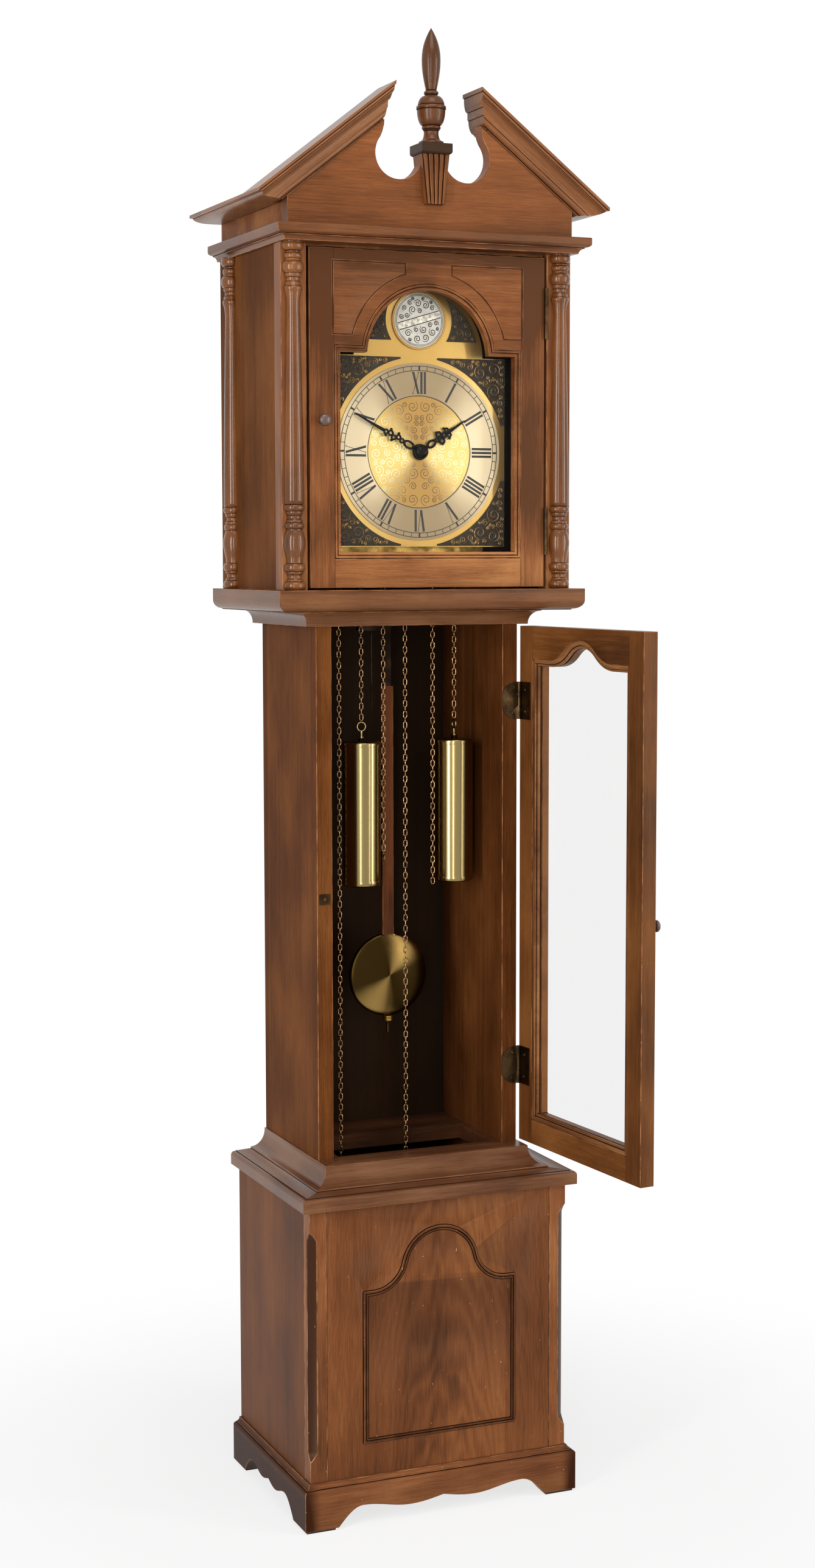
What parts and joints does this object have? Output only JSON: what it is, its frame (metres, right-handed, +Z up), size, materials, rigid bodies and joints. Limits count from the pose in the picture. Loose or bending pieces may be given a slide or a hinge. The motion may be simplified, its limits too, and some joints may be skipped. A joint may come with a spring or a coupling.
{
  "type": "granddaughter clock",
  "caption": "Weight-driven longcase clock of granddaughter size: arched dial in a hood with broken pediment and split columns, glazed trunk door standing open, chains and pendulum inside.",
  "frame": {"origin": "on the floor, under the centre of the bounding box with the trunk door open as at rest", "axes": "+Z up, -Y towards the viewer in front of the dial, +X to the viewer's right"},
  "size_m": [0.426, 0.442, 1.699],
  "materials": {
    "case_wood": "satin",
    "inner_wood": "matt",
    "bead_wood": "satin",
    "dark_wood": "satin",
    "pad": "matt",
    "dial_brass": "brushed",
    "bright_brass": "polished",
    "antique_brass": "aged",
    "silvered": "silvered, satin",
    "chain_metal": "aged",
    "steel": "satin",
    "black_steel": "satin",
    "clear_glass": "clear"
  },
  "bodies": {
    "case": {"foot_pads": "pad", "plinth": "case_wood", "base_carcass": "case_wood", "base_stiles": "case_wood", "base_panel": "case_wood", "back_board": "inner_wood", "waist_moulding": "case_wood", "trunk_sides": "case_wood", "trunk_floor": "inner_wood", "hood_moulding": "case_wood", "hood_sides": "case_wood", "hood_front_frame": "case_wood", "columns": "case_wood", "hood_top_board": "inner_wood", "cornice": "case_wood", "frieze_sides": "case_wood", "tympanum": "case_wood", "raking_cornices": "case_wood", "keystone": "case_wood", "finial_block": "dark_wood", "finial": "case_wood", "seat_board": "inner_wood", "movement_frame": "bright_brass", "gong": "steel", "dial_plate": "dial_brass", "chapter_ring": "silvered", "dial_discs": "dial_brass", "spandrels": "antique_brass", "catch_plate": "antique_brass", "trunk_hinge_leaves": "antique_brass", "hood_hinge_leaves": "antique_brass", "chain_left_weight": "chain_metal", "chain_left_free": "chain_metal", "chain_centre_hook": "chain_metal", "chain_centre_free": "chain_metal", "chain_right_weight": "chain_metal", "chain_right_free": "chain_metal"},
    "hood_door": {"hood_door_frame": "case_wood", "hood_door_glass": "clear_glass", "hood_door_knob": "antique_brass", "hood_door_hinges": "antique_brass"},
    "trunk_door": {"trunk_door_frame": "case_wood", "trunk_door_glass": "clear_glass", "trunk_door_beads": "bead_wood", "trunk_door_knob": "antique_brass", "trunk_door_hinges": "antique_brass"},
    "pendulum": {"pendulum_hanger": "steel", "pendulum_rod": "case_wood", "pendulum_bob": "bright_brass"},
    "rating_nut": {"rating_nut": "bright_brass"},
    "minute_hand": {"minute_hand": "black_steel"},
    "hour_hand": {"hour_hand": "black_steel"},
    "anchor": {"anchor": "steel"},
    "escape_wheel": {"escape_wheel": "bright_brass"},
    "chain_wheel_left": {"chain_wheel_left": "bright_brass"},
    "chain_wheel_centre": {"chain_wheel_centre": "bright_brass"},
    "chain_wheel_right": {"chain_wheel_right": "bright_brass"},
    "weight_left": {"weight_left": "bright_brass"},
    "weight_right": {"weight_right": "bright_brass"},
    "centre_hook": {"centre_hook": "chain_metal"}
  },
  "joints": [
    {"name": "hood_door_hinge", "type": "hinge", "parent": "case", "child": "hood_door", "pos_m": [0.1464, 0.00479, 1.27], "axis": [0, 0, 1], "range_deg": [0, 110]},
    {"name": "trunk_door_hinge", "type": "hinge", "parent": "case", "child": "trunk_door", "pos_m": [0.1292, 0.03899, 0.72], "axis": [0, 0, 1], "range_deg": [-95, 75]},
    {"name": "pendulum_swing", "type": "hinge", "parent": "case", "child": "pendulum", "pos_m": [0, 0.13499, 1.3], "axis": [0, 1, 0], "range_deg": [-3, 3]},
    {"name": "anchor_rock", "type": "hinge", "parent": "case", "child": "anchor", "pos_m": [0, 0.09299, 1.3], "axis": [0, 1, 0], "range_deg": [-3, 3]},
    {"name": "rating_nut_turn", "type": "hinge", "parent": "pendulum", "child": "rating_nut", "pos_m": [0, 0.13499, 0.556], "axis": [0, 0, 1], "continuous": true},
    {"name": "minute_hand_turn", "type": "hinge", "parent": "case", "child": "minute_hand", "pos_m": [0, 0.03299, 1.2313], "axis": [0, 1, 0], "continuous": true},
    {"name": "hour_hand_turn", "type": "hinge", "parent": "case", "child": "hour_hand", "pos_m": [0, 0.03299, 1.2313], "axis": [0, 1, 0], "continuous": true},
    {"name": "escape_wheel_turn", "type": "hinge", "parent": "case", "child": "escape_wheel", "pos_m": [0, 0.09299, 1.279], "axis": [0, 1, 0], "continuous": true},
    {"name": "weight_left_slide", "type": "slide", "parent": "case", "child": "weight_left", "axis": [0, 0, 1], "range_m": [-0.28, 0.1], "deforming": ["chain_left_weight", "chain_left_free"]},
    {"name": "weight_right_slide", "type": "slide", "parent": "case", "child": "weight_right", "axis": [0, 0, 1], "range_m": [-0.28, 0.1], "deforming": ["chain_right_weight", "chain_right_free"]},
    {"name": "centre_hook_slide", "type": "slide", "parent": "case", "child": "centre_hook", "axis": [0, 0, 1], "range_m": [-0.28, 0.1], "deforming": ["chain_centre_hook", "chain_centre_free"]},
    {"name": "chain_wheel_left_turn", "type": "hinge", "parent": "case", "child": "chain_wheel_left", "pos_m": [-0.061, 0.09299, 1.145], "axis": [0, 1, 0], "range_deg": [-420, 1160]},
    {"name": "chain_wheel_centre_turn", "type": "hinge", "parent": "case", "child": "chain_wheel_centre", "pos_m": [-0.005, 0.09299, 1.145], "axis": [0, 1, 0], "range_deg": [-1160, 420]},
    {"name": "chain_wheel_right_turn", "type": "hinge", "parent": "case", "child": "chain_wheel_right", "pos_m": [0.0585, 0.09299, 1.145], "axis": [0, 1, 0], "range_deg": [-420, 1160]}
  ],
  "couplings": [
    {"joint": "anchor_rock", "follows": "pendulum_swing", "ratio": 1},
    {"joint": "hour_hand_turn", "follows": "minute_hand_turn", "ratio": 0.083333},
    {"joint": "escape_wheel_turn", "follows": "minute_hand_turn", "ratio": 72},
    {"joint": "chain_wheel_left_turn", "follows": "weight_left_slide", "rad_per_m": -71.429},
    {"joint": "chain_wheel_right_turn", "follows": "weight_right_slide", "rad_per_m": -71.429},
    {"joint": "chain_wheel_centre_turn", "follows": "centre_hook_slide", "rad_per_m": 71.429}
  ]
}
